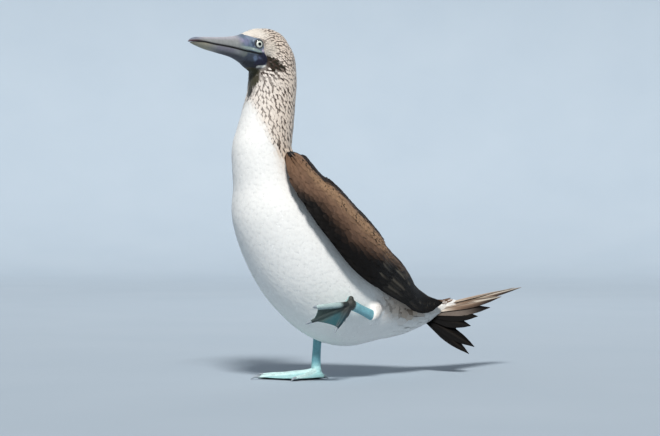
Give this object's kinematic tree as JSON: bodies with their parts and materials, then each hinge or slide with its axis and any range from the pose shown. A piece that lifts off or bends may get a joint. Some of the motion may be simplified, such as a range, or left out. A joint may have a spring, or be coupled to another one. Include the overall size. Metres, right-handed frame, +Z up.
{
  "type": "blue-footed booby",
  "caption": "Life-size still model of a blue-footed booby standing on a blue webbed foot with the other foot raised, wings folded and tail fanned",
  "frame": {"origin": "on the floor, in the middle of the flat under the standing right foot's heel pad", "axes": "+Z up, the bird's chest faces -Y and its tail +Y, and its left side is +X"},
  "size_m": [0.186, 0.5751, 0.4695],
  "materials": {
    "plumage_white": "matt white feathers of the breast, belly and rump",
    "plumage_streaked": "matt cream feathers with dark brown streaks on the head and neck",
    "plumage_brown": "matt dark brown flight and tail feathers with paler edges",
    "bill_horn": "satin blue-grey horn",
    "foot_skin": "satin turquoise scaled skin with pale claws",
    "eye": "glossy pale yellow iris with a small black pupil"
  },
  "bodies": {
    "root": {"head": "plumage_streaked", "neck": "plumage_streaked", "torso": "plumage_white", "wing_left": "plumage_brown", "wing_right": "plumage_brown", "tail": "plumage_brown", "bill_upper": "bill_horn", "bill_lower": "bill_horn", "eye_left": "eye", "eye_right": "eye", "leg_left": "foot_skin", "leg_right": "foot_skin", "foot_left": "foot_skin", "foot_right": "foot_skin"}
  },
  "joints": []
}
